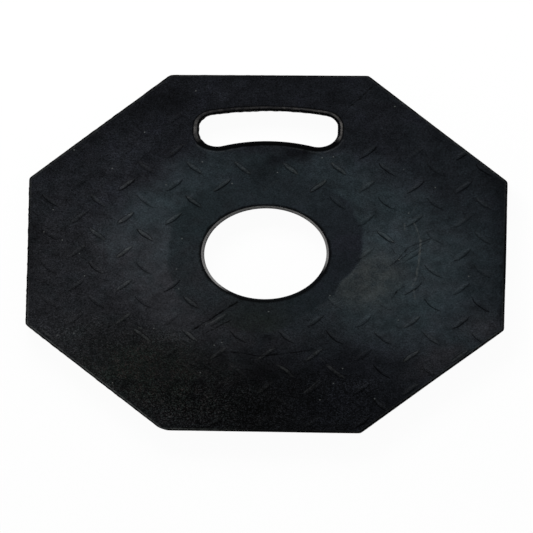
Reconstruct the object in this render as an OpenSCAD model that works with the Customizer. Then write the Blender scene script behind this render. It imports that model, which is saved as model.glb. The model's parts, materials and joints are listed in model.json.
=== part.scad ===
// Octagonal rubber base for a road delineator post: one moulded slab with a round hole for the post,
// a kidney-shaped hand slot near one edge and a raised two-way bar tread on its upper face.
// The origin is the middle of the underside, +Z is up and the hand slot lies towards +Y.

/* [Slab] */
// Distance across two opposite flats of the octagon
across_flats = 406; // [380:1:460]
// Thickness of the slab under the tread
thickness = 25; // [18:0.5:38]
// Width of the chamfer along the upper edge
edge_chamfer = 1.2; // [0.5:0.1:3]
// Depth by which each upright corner is blunted
corner_blunt = 1; // [0.3:0.1:4]

/* [Post hole] */
// Diameter of the hole that the post drops through
hole_d = 104; // [80:0.5:130]
// Width of the lead-in chamfer round the upper rim of the hole
hole_lead = 1.9; // [0.5:0.1:4]

/* [Hand slot] */
// Width of the grip left between the slot and the slab's edge
grip_w = 40; // [28:0.5:46]
// Width of the slot at its middle
slot_w = 35; // [30:0.5:45]
// Length of the slot from end to end
slot_l = 118; // [90:1:134]
// Radius of the slot's outer long side
slot_outer_r = 240; // [160:5:500]
// Radius of the two corners beside the grip
outer_corner_r = 14; // [8:0.5:17]
// Radius of the two corners towards the post hole
inner_corner_r = 16; // [8:0.5:19]
// Radius of the rounding along the slot's upper rim
slot_rim_r = 4; // [1:0.5:6]

/* [Tread] */
// Length of one raised bar
bar_l = 23; // [16:0.5:30]
// Width of one bar at its middle
bar_w = 5.5; // [3:0.25:8]
// Height of one bar at its middle
bar_h = 1.1; // [0.6:0.1:2.5]
// Height of one bar at its two points
bar_tip_h = 0.25; // [0.1:0.05:0.5]
// Angle between a bar and the slab's lower flat
bar_angle = 45; // [30:1:60]
// Distance between like bars, across the slab
pitch_x = 40.8; // [32:0.1:60]
// Distance between like bars, towards the slot
pitch_y = 38.3; // [32:0.1:60]
// Place across the slab of one right-leaning bar
right_bar_x = 3; // [-20:0.1:20]
// Place towards the slot of one right-leaning bar
right_bar_y = 0.4; // [-20:0.1:20]
// Place across the slab of one left-leaning bar
left_bar_x = 19.9; // [0:0.1:40]
// Place towards the slot of one left-leaning bar
left_bar_y = 20.2; // [0:0.1:40]

/* [Plain places in the tread] */
// Width of the plain collar round the post hole
collar_w = 28; // [10:0.5:50]
// Width of the plain band along the edge beside the slot
plain_band_w = 45; // [20:0.5:70]
// Least distance from the slot's rim to the middle of a bar
slot_clear = 12; // [12:0.5:30]
// Least distance from the slab's edge to the middle of a bar
edge_clear = 3.5; // [3:0.5:30]

/* [Hidden] */

sides = 8;
side_angle = 360 / sides;
half_flat = across_flats / 2;
corner_r = half_flat / cos(side_angle / 2);
blunt_r = corner_r - corner_blunt;
hole_r = hole_d / 2;

// How far a cutter reaches past the face that it cuts
overcut = 1;
// Depth to which a bar is rooted in the slab
bar_root = 0.8;
// Side of a square bar that takes off the edge with whatever tread lies over it
cutter_w = 2 * bar_l;

// Facets of round features
round_fn = 120;
// Straight steps along a slot side, round a slot corner and up the slot's rim
side_steps = 12;
corner_steps = 6;
rim_steps = 4;

// Two arcs make the pointed outline of a bar, and one flatter arc makes its crown
bar_side_r = (pow(bar_l / 2, 2) + pow(bar_w / 2, 2)) / bar_w;
bar_rise = bar_h - bar_tip_h;
bar_crown_r = (pow(bar_l / 2, 2) + pow(bar_rise, 2)) / (2 * bar_rise);

// The slot's inner side is an arc about the post hole, and its outer side is a flatter one
slot_outer_y = half_flat - grip_w;
slot_inner_r = slot_outer_y - slot_w;
outer_arc_y = slot_outer_y - slot_outer_r;
outer_corner_x = slot_l / 2 - outer_corner_r;
inner_corner_x = slot_l / 2 - inner_corner_r;
outer_turn = asin(outer_corner_x / (slot_outer_r - outer_corner_r));
inner_turn = asin(inner_corner_x / (slot_inner_r + inner_corner_r));
outer_corner_y = outer_arc_y + (slot_outer_r - outer_corner_r) * cos(outer_turn);
inner_corner_y = (slot_inner_r + inner_corner_r) * cos(inner_turn);

// Points along an arc about a centre, from one angle to another
function arc(centre, r, from, to, steps) =
    [for (i = [0 : steps]) centre + r * [cos(from + (to - from) * i / steps), sin(from + (to - from) * i / steps)]];

// A chain of points with its last one left off, because the next arc starts there
function but_last(points) = [for (i = [0 : len(points) - 2]) points[i]];

// The slot's grip side from its left end to its right end, grown outwards by grow
function outer_chain(grow) = concat(
    but_last(arc([-outer_corner_x, outer_corner_y], outer_corner_r + grow, 180, 90 + outer_turn, corner_steps)),
    but_last(arc([0, outer_arc_y], slot_outer_r + grow, 90 + outer_turn, 90 - outer_turn, side_steps)),
    arc([outer_corner_x, outer_corner_y], outer_corner_r + grow, 90 - outer_turn, 0, corner_steps));

// The slot's hole side from its left end to its right end, grown outwards by grow
function inner_chain(grow) = concat(
    but_last(arc([-inner_corner_x, inner_corner_y], inner_corner_r + grow, 180, 270 + inner_turn, corner_steps)),
    but_last(arc([0, 0], slot_inner_r - grow, 90 + inner_turn, 90 - inner_turn, side_steps)),
    arc([inner_corner_x, inner_corner_y], inner_corner_r + grow, -90 - inner_turn, 0, corner_steps));

// One closed ring round the slot: the outer chain, then the inner chain backwards
function slot_ring(grow) =
    let (inner = inner_chain(grow))
    concat(outer_chain(grow), [for (i = [len(inner) - 1 : -1 : 0]) inner[i]]);

// Height and growth of each ring up the quarter round, short of the last one on the upper face
rim_levels = [for (i = [0 : rim_steps - 1])
    let (turn = 90 * i / rim_steps)
    [thickness - slot_rim_r * (1 - sin(turn)), slot_rim_r * (1 - cos(turn))]];
last_level = rim_levels[rim_steps - 1];

// The walls run straight through the slab, and the last chord of the round runs on past the upper face
slot_levels = concat(
    [[-overcut, 0]],
    rim_levels,
    [[2 * thickness - last_level[0], 2 * slot_rim_r - last_level[1]]]);

module slot_cutter() {
    rings = [for (level = slot_levels) [for (p = slot_ring(level[1])) [p[0], p[1], level[0]]]];
    around = len(rings[0]);
    top = (len(rings) - 1) * around;
    walls = [for (k = [0 : len(rings) - 2], i = [0 : around - 1])
        let (j = (i + 1) % around)
        [k * around + i, k * around + j, (k + 1) * around + j, (k + 1) * around + i]];
    floor_strip = [for (i = [0 : around / 2 - 2]) [i, around - 1 - i, around - 2 - i, i + 1]];
    roof_strip = [for (f = floor_strip) [for (i = [3 : -1 : 0]) f[i] + top]];
    polyhedron(points = [for (ring = rings, p = ring) p], faces = concat(walls, floor_strip, roof_strip));
}

module post_hole_cutter() {
    translate([0, 0, -overcut])
        cylinder(r = hole_r, h = thickness + bar_h + 2 * overcut, $fn = round_fn);
    translate([0, 0, thickness - hole_lead])
        cylinder(r1 = hole_r, r2 = hole_r + hole_lead + overcut, h = hole_lead + overcut, $fn = round_fn);
}

// The octagon with its corners blunted, and with the edge's chamfer carried round them
module slab() {
    chamfer_foot = thickness - edge_chamfer;
    intersection() {
        rotate([0, 0, side_angle / 2])
            cylinder(r = corner_r, h = thickness, $fn = sides);
        union() {
            cylinder(r = blunt_r, h = chamfer_foot, $fn = round_fn);
            translate([0, 0, chamfer_foot])
                cylinder(r1 = blunt_r, r2 = blunt_r - 2 * edge_chamfer, h = 2 * edge_chamfer, $fn = round_fn);
        }
    }
}

module edge_cutters() {
    for (side = [0 : sides - 1])
        rotate([0, 0, side * side_angle])
            translate([half_flat, 0, thickness - edge_chamfer])
                rotate([0, 45, 0])
                    translate([-cutter_w / 2, -half_flat, 0])
                        cube([cutter_w, across_flats, cutter_w]);
}

// One raised bar: a pointed outline along X with a crown that falls towards its points
module bar() {
    intersection() {
        for (way = [1, -1])
            translate([0, way * (bar_side_r - bar_w / 2), -bar_root])
                cylinder(r = bar_side_r, h = bar_root + bar_h, $fn = round_fn);
        translate([0, 0, bar_h - bar_crown_r])
            rotate([90, 0, 0])
                cylinder(r = bar_crown_r, h = 2 * bar_w, center = true, $fn = round_fn);
    }
}

// How far a point lies inside the octagon's nearest flat
function edge_depth(p) =
    half_flat - max([for (side = [0 : sides - 1]) p * [cos(side * side_angle), sin(side * side_angle)]]);

// Whether a point lies in the hand slot or within slot_clear of its rim
function by_slot(p) =
    (norm(p) > slot_inner_r && p[1] < slot_outer_y && abs(p[0]) < slot_l / 2 && p[1] > 0)
    || min([for (q = slot_ring(slot_rim_r)) norm(p - q)]) < slot_clear;

// Whether the tread has a bar at a place of its pattern
function has_bar(p) =
    norm(p) > hole_r + collar_w && edge_depth(p) > edge_clear && p[1] < half_flat - plain_band_w && !by_slot(p);

// Like bars on their grid, with one of them at the place start
module bar_grid(start, lean) {
    columns = ceil(half_flat / pitch_x) + 1;
    rows = ceil(half_flat / pitch_y) + 1;
    for (column = [-columns : columns], row = [-rows : rows]) {
        place = start + [column * pitch_x, row * pitch_y];
        if (has_bar(place))
            translate([place[0], place[1], thickness])
                rotate([0, 0, lean])
                    bar();
    }
}

module rubber_base() {
    color([0.12, 0.13, 0.135])
        difference() {
            union() {
                slab();
                bar_grid([right_bar_x, right_bar_y], bar_angle);
                bar_grid([left_bar_x, left_bar_y], -bar_angle);
            }
            edge_cutters();
            post_hole_cutter();
            slot_cutter();
        }
}

rubber_base();
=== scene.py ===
"""Dresses the moulded rubber base of a road delineator and sets up the studio that it is seen in."""

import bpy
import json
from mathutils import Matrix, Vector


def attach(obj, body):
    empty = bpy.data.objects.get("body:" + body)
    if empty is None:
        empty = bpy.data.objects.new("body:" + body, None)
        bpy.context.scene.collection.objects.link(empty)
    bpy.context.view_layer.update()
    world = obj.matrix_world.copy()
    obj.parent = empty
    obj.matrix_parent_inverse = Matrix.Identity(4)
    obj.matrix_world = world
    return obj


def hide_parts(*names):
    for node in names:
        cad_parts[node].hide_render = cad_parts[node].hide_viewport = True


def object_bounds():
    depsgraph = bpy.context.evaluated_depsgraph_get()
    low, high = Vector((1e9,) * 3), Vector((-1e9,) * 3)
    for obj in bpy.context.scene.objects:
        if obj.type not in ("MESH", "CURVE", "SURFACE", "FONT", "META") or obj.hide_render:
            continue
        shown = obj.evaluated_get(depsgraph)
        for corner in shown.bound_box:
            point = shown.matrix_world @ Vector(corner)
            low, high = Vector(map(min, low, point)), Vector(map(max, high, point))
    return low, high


bl_info = {
    "name": "Delineator base",
    "version": (1, 0, 0),
    "blender": (4, 5, 0),
    "location": "3D View > Sidebar > Delineator base",
    "description": "Makes the worn rubber of a delineator base, its floor, its lamps and its camera",
    "category": "Object",
}

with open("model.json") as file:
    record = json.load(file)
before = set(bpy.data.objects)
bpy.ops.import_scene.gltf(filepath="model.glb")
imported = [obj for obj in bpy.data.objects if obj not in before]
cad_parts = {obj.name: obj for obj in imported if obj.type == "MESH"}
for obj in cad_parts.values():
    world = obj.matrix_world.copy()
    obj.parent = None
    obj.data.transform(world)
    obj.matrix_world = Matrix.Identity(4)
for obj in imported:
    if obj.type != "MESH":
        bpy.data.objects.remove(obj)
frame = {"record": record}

import json
import math

import bpy
import numpy as np
from bpy.props import FloatProperty, FloatVectorProperty, PointerProperty
from mathutils import Matrix, Vector

# Sizes are properties in metres. The moulding is worked out in millimetres, and so are the constants below.
MM = 0.001
CAD_LOW, CAD_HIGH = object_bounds()
POST_HOLE = next(m for m in frame["record"]["mounts"] if m["name"] == "post_hole")
POST_HOLE_R = POST_HOLE["dims"]["r_mm"] * MM

# Height of the flat upper face
PLATE_TOP = 25.0
# The tables of random values repeat after so many steps
TABLE = 64
# What masks of 1 stand for: a distance from the edge or from the slot's walls, and a width of the slot's inner line
DISTANCE_KEPT = 9.0
INNER_LINE_KEPT = 3.0
# The tread's two grids of bars: name, place of the first bar, lean and seed
BAR_GRIDS = (("rising", (3.0, 0.4), 1.0, 11), ("falling", (19.9, 20.2), -1.0, 12))
# Columns and rows of places on each side of a grid's first bar
GRID_REACH = 8
# Bars whose pale crowns are known, partly rubbed and partly a painted highlight: column and row in their grid, and how
# pale the crown is
RUBBED_AND_HIGHLIGHTED_BARS = {
    "rising": (
        (-3, 1, 1.00), (-3, 0, 1.00), (-4, 1, 0.25), (-3, -2, 0.60), (3, -3, 1.00), (4, -3, 0.90), (1, 2, 0.85),
        (-1, 2, 0.50), (-1, -3, 0.60), (0, -3, 0.80), (1, -3, 0.70), (3, 1, 0.20), (0, 2, 0.20),
    ),
    "falling": (
        (-4, 0, 0.90), (-3, 0, 0.85), (-3, -3, 1.00), (-5, -3, 0.60), (-3, -1, 0.10), (-2, 2, 0.60), (-1, 2, 0.70),
        (0, 2, 0.90), (1, 2, 0.70), (2, 0, 0.75), (-2, -2, 0.65), (-2, -3, 0.90), (0, -4, 0.95), (-1, -4, 0.35),
        (1, -4, 0.60), (2, -1, 0.10), (-3, 1, 0.10),
    ),
}
# Scratches and creases on the upper face: the points of each, its half width and its strength
PALE_LINES = (
    (((126.0, 56.0), (123.5, 46.0)), 0.8, 0.14), (((125.1, 36.1), (127.8, 28.2), (130.6, 16.9)), 0.9, 0.40),
    (((130.6, 16.9), (131.0, 5.5), (130.1, -7.0)), 1.3, 0.55),
    (((130.1, -7.0), (128.6, -18.4), (128.0, -28.7)), 1.2, 0.42),
    (((128.0, -28.7), (124.7, -35.6)), 0.9, 0.30), (((116.9, 34.9), (117.6, 28.1)), 0.9, 0.40),
    (((126.2, -40.1), (127.5, -49.9)), 1.0, 0.28), (((98.0, -8.0), (113.0, -22.0)), 0.5, 0.12),
    (((-86.0, 118.0), (-70.0, 124.0)), 0.5, 0.12), (((36.2, -157.4), (48.7, -143.5)), 0.8, 0.20),
    (((48.3, -118.0), (70.0, -141.0)), 0.9, 0.14), (((-106.0, -86.0), (-99.0, -89.6)), 0.9, 0.35),
    (((60.0, -165.0), (72.0, -174.0)), 0.5, 0.14), (((150.0, -118.0), (168.0, -104.0)), 0.5, 0.10),
    (((-48.2, -82.2), (-33.1, -70.6)), 1.0, 0.30),
)
DARK_LINES = (
    (((109.0, -10.7), (114.8, -1.5), (121.4, 8.8), (127.2, 12.3), (139.0, 18.1)), 0.8, 0.80),
    (((105.7, -13.0), (117.3, -2.7), (122.3, 2.0), (131.5, 10.0), (139.0, 15.8)), 0.7, 0.65),
    (((107.2, -50.6), (112.1, -41.4), (117.9, -35.7)), 1.0, 0.75), (((86.8, 189.4), (70.2, 168.7)), 1.1, 0.85),
    (((70.2, 168.7), (61.9, 156.0)), 0.8, 0.50), (((-59.9, -88.0), (-22.4, -55.6)), 1.25, 0.92),
    (((-48.0, -91.3), (-27.1, -76.2)), 1.1, 0.80), (((-53.3, -78.8), (-45.8, -74.2)), 0.6, 0.60),
    (((-26.4, -112.6), (-14.5, -114.7), (-2.6, -116.9), (18.5, -114.3), (39.6, -109.5)), 1.05, 0.92),
    (((39.6, -109.5), (58.0, -99.5)), 0.6, 0.50), (((62.0, -88.0), (74.0, -76.0)), 0.6, 0.50),
    (((106.0, 10.0), (109.0, 2.0)), 0.7, 0.60), (((156.0, -58.0), (170.0, -48.0)), 0.5, 0.40),
)


class BASE_PG_shape(bpy.types.PropertyGroup):
    """Sizes of the moulding."""

    across_flats: FloatProperty(
        name="Across flats", description="Width of the octagon from one flat to the opposite one",
        default=CAD_HIGH.x - CAD_LOW.x, min=0.3, max=0.6, unit="LENGTH")
    thickness: FloatProperty(
        name="Thickness", description="Height of the slab without its tread",
        default=0.025, min=0.015, max=0.04, unit="LENGTH")
    post_hole: FloatProperty(
        name="Post hole", description="Width of the round hole for the post's tube",
        default=2 * POST_HOLE_R, min=0.06, max=0.15, unit="LENGTH")
    lead_in: FloatProperty(
        name="Lead-in", description="Width of the slope at the upper rim of the post hole",
        default=0.0019, min=0.0005, max=0.004, unit="LENGTH")
    arris: FloatProperty(
        name="Arris", description="Radius of the rounded upper edge",
        default=0.0011, min=0.0003, max=0.003, unit="LENGTH")
    slot_length: FloatProperty(
        name="Slot length", description="Length of the hand slot from end to end",
        default=0.118, min=0.08, max=0.15, unit="LENGTH")
    slot_width: FloatProperty(
        name="Slot width", description="Width of the hand slot at its middle",
        default=0.035, min=0.02, max=0.05, unit="LENGTH")
    grip_width: FloatProperty(
        name="Grip width", description="Width of the rubber between the hand slot and the edge",
        default=0.040, min=0.02, max=0.06, unit="LENGTH")
    slot_rim: FloatProperty(
        name="Slot rim", description="Radius of the round at the upper rim of the hand slot",
        default=0.004, min=0.001, max=0.006, unit="LENGTH")
    flash: FloatProperty(
        name="Flash", description="Furthest reach of the ragged flash left at the foot of the slot's walls",
        default=0.0011, min=0.0, max=0.003, unit="LENGTH")


class BASE_PG_tread(bpy.types.PropertyGroup):
    """Sizes of the raised bars and of the surface that they stand on."""

    bar_length: FloatProperty(
        name="Bar length", description="Length of a raised bar from point to point",
        default=0.0215, min=0.01, max=0.04, unit="LENGTH")
    bar_width: FloatProperty(
        name="Bar width", description="Width of a raised bar at its middle",
        default=0.0046, min=0.002, max=0.01, unit="LENGTH")
    bar_height: FloatProperty(
        name="Bar height", description="Height of a fresh bar at its middle",
        default=0.0011, min=0.0003, max=0.002, unit="LENGTH")
    pitch_across: FloatProperty(
        name="Pitch across", description="Distance between like bars from left to right",
        default=0.0408, min=0.025, max=0.08, unit="LENGTH")
    pitch_along: FloatProperty(
        name="Pitch along", description="Distance between like bars from front to back",
        default=0.0383, min=0.025, max=0.08, unit="LENGTH")
    collar_radius: FloatProperty(
        name="Collar radius", description="Radius of the plain collar round the post hole",
        default=0.081, min=0.06, max=0.1, unit="LENGTH")
    swell: FloatProperty(
        name="Swell", description="How far the upper face rises and falls by itself",
        default=0.00012, min=0.0, max=0.0004, unit="LENGTH")


class BASE_PG_finish(bpy.types.PropertyGroup):
    """Colours and gloss of the rubber."""

    # The palest colours of the skin, which the tone mask scales: that paleness is partly worn and partly a painted
    # sheen
    cool: FloatVectorProperty(
        name="Cool grey", description="Colour of the palest worn rubber where it looks bluish",
        default=(0.0225, 0.0330, 0.0372), size=3, min=0, max=1, subtype="COLOR")
    dusty: FloatVectorProperty(
        name="Dusty grey", description="Colour of the palest worn rubber where dust makes it neutral",
        default=(0.0287, 0.0297, 0.0338), size=3, min=0, max=1, subtype="COLOR")
    # Chalk also makes the painted highlights along the upper edge and in the glint beside the slot, and the bars' pale
    # crowns, partly rubbed and partly painted highlight
    chalk_and_highlight: FloatVectorProperty(
        name="Chalk", description="Colour of rubbed places, scratches and light crumbs",
        default=(0.085, 0.090, 0.086), size=3, min=0, max=1, subtype="COLOR")
    # This colour is a painted highlight on the lead-in and the wall of the post hole, on the side that faces the light
    bore_rim_highlight: FloatVectorProperty(
        name="Bore rim highlight", description="Colour of the dust and wear on the rim of the post hole",
        default=(0.250, 0.244, 0.238), size=3, min=0, max=1, subtype="COLOR")
    # This colour is a painted highlight on the rim of the hand slot, on the sides that face the light
    slot_rim_highlight: FloatVectorProperty(
        name="Slot rim highlight", description="Colour of the dust on the rim of the hand slot",
        default=(0.078, 0.074, 0.070), size=3, min=0, max=1, subtype="COLOR")
    shade: FloatVectorProperty(
        name="Shade", description="Colour of the deepest marks and of clean, unlit rubber",
        default=(0.0004, 0.0004, 0.0005), size=3, min=0, max=1, subtype="COLOR")
    moss: FloatVectorProperty(
        name="Moss", description="Tint of the greenish dirt at the lower left",
        default=(0.0240, 0.0318, 0.0270), size=3, min=0, max=1, subtype="COLOR")
    umber: FloatVectorProperty(
        name="Umber", description="Tint of the brown grains in the greenish dirt",
        default=(0.0345, 0.0290, 0.0256), size=3, min=0, max=1, subtype="COLOR")
    navy: FloatVectorProperty(
        name="Navy", description="Tint of the clean skin along the top and the lower right",
        default=(0.0258, 0.0286, 0.0384), size=3, min=0, max=1, subtype="COLOR")
    ochre: FloatVectorProperty(
        name="Ochre dust", description="Tint of the rubbed patch to the right of the collar",
        default=(0.0312, 0.0340, 0.0328), size=3, min=0, max=1, subtype="COLOR")
    roughness: FloatProperty(
        name="Roughness", description="Roughness of the plain rubber",
        default=0.47, min=0.2, max=1.0, subtype="FACTOR")
    gloss: FloatProperty(
        name="Gloss", description="Strength of the rubber's reflections",
        default=0.035, min=0.0, max=1.0, subtype="FACTOR")
    grain_depth: FloatProperty(
        name="Grain depth", description="Depth of the grain in the rubber's skin",
        default=0.00009, min=0.0, max=0.0005, unit="LENGTH")


class BASE_PG_studio(bpy.types.PropertyGroup):
    """Floor, lamps and camera."""

    floor_size: FloatProperty(
        name="Floor size", description="Length of a side of the floor",
        default=6.0, min=2.0, max=20.0, unit="LENGTH")
    surround: FloatProperty(
        name="Surround light", description="Strength of the soft light from all round",
        default=1.05, min=0.0, max=2.0)
    key_power: FloatProperty(
        name="Key lamp", description="Power of the soft lamp behind the base",
        default=15.5, min=0.0, max=200.0, unit="POWER")
    key_place: FloatVectorProperty(
        name="Key lamp's place", description="Middle of the soft lamp behind the base",
        default=(-0.28, 0.95, 0.80), size=3, subtype="TRANSLATION")
    key_size: FloatVectorProperty(
        name="Key lamp's size", description="Width and height of the soft lamp",
        default=(0.70, 0.45), size=2, min=0.01, unit="LENGTH")
    squash: FloatProperty(
        name="Squash", description="Height of the picture's object divided by its width",
        default=0.74455, min=0.4, max=1.0, subtype="FACTOR")
    lens: FloatProperty(
        name="Lens", description="Focal length in millimetres",
        default=1650.0, min=50.0, max=1700.0, unit="CAMERA")
    tilt: FloatVectorProperty(
        name="Tilt", description="How far the camera stands off the plumb line, to the front and to the right",
        default=(math.radians(1.91), math.radians(1.16)), size=2, min=0.0, max=0.5, subtype="EULER")
    roll: FloatProperty(
        name="Roll", description="Turn of the picture about the line of sight",
        default=math.radians(0.75), min=-0.5, max=0.5, subtype="ANGLE")
    skew: FloatProperty(
        name="Skew", description="Lean of the picture's upright lines",
        default=math.radians(-0.244), min=-0.5, max=0.5, subtype="ANGLE")
    aim: FloatVectorProperty(
        name="Aim", description="Point of the floor at the middle of the picture",
        default=(0.00111, -0.01411, 0.0), size=3, subtype="TRANSLATION")
    half_view: FloatProperty(
        name="Half view", description="Half the width of the picture at the base",
        default=0.22593, min=0.1, max=1.0, unit="LENGTH")


def ease(low, high, value):
    """0 below low and 1 above high, with the cubic 3t² − 2t³ between them; low may be above high."""
    t = np.clip((value - low) / (high - low), 0.0, 1.0)
    return t * t * (3.0 - 2.0 * t)


def drift(x, y, size, seed):
    """Smooth random field from −1 to 1: random values on a square lattice, joined by the cubic 3t² − 2t³."""
    table = np.random.default_rng(seed).uniform(-1.0, 1.0, (TABLE, TABLE))
    u, v = x / size, y / size
    i, j = np.floor(u).astype(int), np.floor(v).astype(int)
    s, t = u - i, v - j
    s, t = s * s * (3.0 - 2.0 * s), t * t * (3.0 - 2.0 * t)
    corners = [table[(i + a) % TABLE, (j + b) % TABLE] for a in (0, 1) for b in (0, 1)]
    left = corners[0] * (1.0 - t) + corners[1] * t
    right = corners[2] * (1.0 - t) + corners[3] * t
    return left * (1.0 - s) + right * s


def flat_reach(x, y):
    """Distance from the middle to the octagon through a point: the largest of the eight flats' distances."""
    ax, ay = np.abs(x), np.abs(y)
    return np.maximum(np.maximum(ax, ay), (ax + ay) / math.sqrt(2.0))


def line_distance(x, y, points):
    """Distance of each point to a chain of straight pieces, as the least distance to any one of them."""
    best = np.full(np.shape(x), 1e9)
    for (ax, ay), (bx, by) in zip(points[:-1], points[1:]):
        dx, dy = bx - ax, by - ay
        along = np.clip(((x - ax) * dx + (y - ay) * dy) / (dx * dx + dy * dy), 0.0, 1.0)
        best = np.minimum(best, np.hypot(x - ax - along * dx, y - ay - along * dy))
    return best


def by_direction(x, y, values):
    """A value for each direction seen from the middle, from evenly spaced ones that start at the right and run
    anticlockwise, joined by the cubic 3t² − 2t³."""
    values = np.asarray(values, dtype=float)
    place = np.arctan2(y, x) / (2.0 * math.pi) * len(values)
    before = np.floor(place).astype(int)
    t = place - before
    t = t * t * (3.0 - 2.0 * t)
    return values[before % len(values)] * (1.0 - t) + values[(before + 1) % len(values)] * t


def patch(x, y, centre, across, turn=0.0, soft=0.6):
    """Soft oval from 0 to 1: the distance from centre in half widths, turned by an angle in degrees."""
    c, s = math.cos(math.radians(turn)), math.sin(math.radians(turn))
    dx, dy = x - centre[0], y - centre[1]
    u, v = (dx * c + dy * s) / across[0], (dy * c - dx * s) / across[1]
    return ease(1.0, 1.0 - soft, np.hypot(u, v))


class SlotOutline:
    """The hand slot's closed outline, anticlockwise from the middle of its lower left corner."""

    outer_side_r = 240.0
    outer_corner_r = 14.0
    inner_corner_r = 16.0
    steps = 240

    def __init__(self, half_length, outer_y, width):
        inner_r = outer_y - width
        outer_x, inner_x = half_length - self.outer_corner_r, half_length - self.inner_corner_r
        side_y = outer_y - self.outer_side_r
        outer_turn = math.asin(outer_x / (self.outer_side_r - self.outer_corner_r))
        inner_turn = math.asin(inner_x / (inner_r + self.inner_corner_r))
        outer_corner_y = side_y + (self.outer_side_r - self.outer_corner_r) * math.cos(outer_turn)
        inner_corner_y = (inner_r + self.inner_corner_r) * math.cos(inner_turn)
        quarter = math.pi / 2
        low_corner = (-math.pi, -quarter + inner_turn)
        middle = sum(low_corner) / 2
        self.inner_r, self.outer_y, self.half_length = inner_r, outer_y, half_length
        self.arcs = [
            ((-inner_x, inner_corner_y), self.inner_corner_r, middle, low_corner[1], 1),
            ((0.0, 0.0), inner_r, quarter + inner_turn, quarter - inner_turn, -1),
            ((inner_x, inner_corner_y), self.inner_corner_r, -quarter - inner_turn, 0.0, 1),
            ((outer_x, outer_corner_y), self.outer_corner_r, 0.0, quarter - outer_turn, 1),
            ((0.0, side_y), self.outer_side_r, quarter - outer_turn, quarter + outer_turn, 1),
            ((-outer_x, outer_corner_y), self.outer_corner_r, quarter + outer_turn, math.pi, 1),
            ((-inner_x, inner_corner_y), self.inner_corner_r, -math.pi, middle, 1),
        ]

    def dense(self, grow):
        """Closely spaced points along the outline, pushed outwards by grow, with their outward directions."""
        points, outward = [], []
        for centre, radius, first, last, way in self.arcs:
            angle = np.linspace(first, last, self.steps)
            ray = np.stack([np.cos(angle), np.sin(angle)], axis=1)
            points.append(np.array(centre) + (radius + way * grow) * ray)
            outward.append(way * ray)
        return np.concatenate(points), np.concatenate(outward)

    def ring(self, across, along, grow):
        """Points round the outline with as many steps on its sides and ends as the window has cells: across on
        the two long sides and along on the ends, each from the middle of one corner to the middle of the next."""
        points, outward = self.dense(grow)
        length = np.concatenate([[0.0], np.cumsum(np.linalg.norm(np.diff(points, axis=0), axis=1))])
        marks = [0.0, 2.5, 3.5, 5.5]
        corners = [np.interp(mark * self.steps, np.arange(len(length)), length) for mark in marks]
        corners.append(length[-1])
        counts = [across, along, across, along]
        stops = [np.linspace(a, b, n, endpoint=False) for a, b, n in zip(corners[:-1], corners[1:], counts)]
        wanted = np.concatenate(stops)
        even = np.stack([np.interp(wanted, length, points[:, k]) for k in (0, 1)], axis=1)
        rays = np.stack([np.interp(wanted, length, outward[:, k]) for k in (0, 1)], axis=1)
        return even, rays / np.linalg.norm(rays, axis=1, keepdims=True)

    def distance(self, x, y, grow):
        """Distance of a few points to the grown outline, as the least distance to its closely spaced points."""
        points, _ = self.dense(grow)
        return np.hypot(x[..., None] - points[:, 0], y[..., None] - points[:, 1]).min(axis=-1)

    def rim_place(self, x, y, reach):
        """How far outside the slot's walls each point lies, up to reach, and how much its part of the rim faces
        the front: 1 on the grip side, 0 at the ends and −1 on the hole's side."""
        points, outward = self.dense(0.0)
        out, way = np.full(len(x), reach), np.zeros(len(x))
        near = (np.abs(x) < self.half_length + reach) & (y > self.inner_r - 3 * reach) & (y < self.outer_y + reach)
        gap = np.hypot(x[near, None] - points[::3, 0], y[near, None] - points[::3, 1])
        best = gap.argmin(axis=1)
        ray = outward[::3][best]
        from_wall = (x[near] - points[::3][best, 0]) * ray[:, 0] + (y[near] - points[::3][best, 1]) * ray[:, 1]
        out[near] = np.minimum(from_wall, reach)
        way[near] = ray[:, 1]
        return out, way


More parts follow.
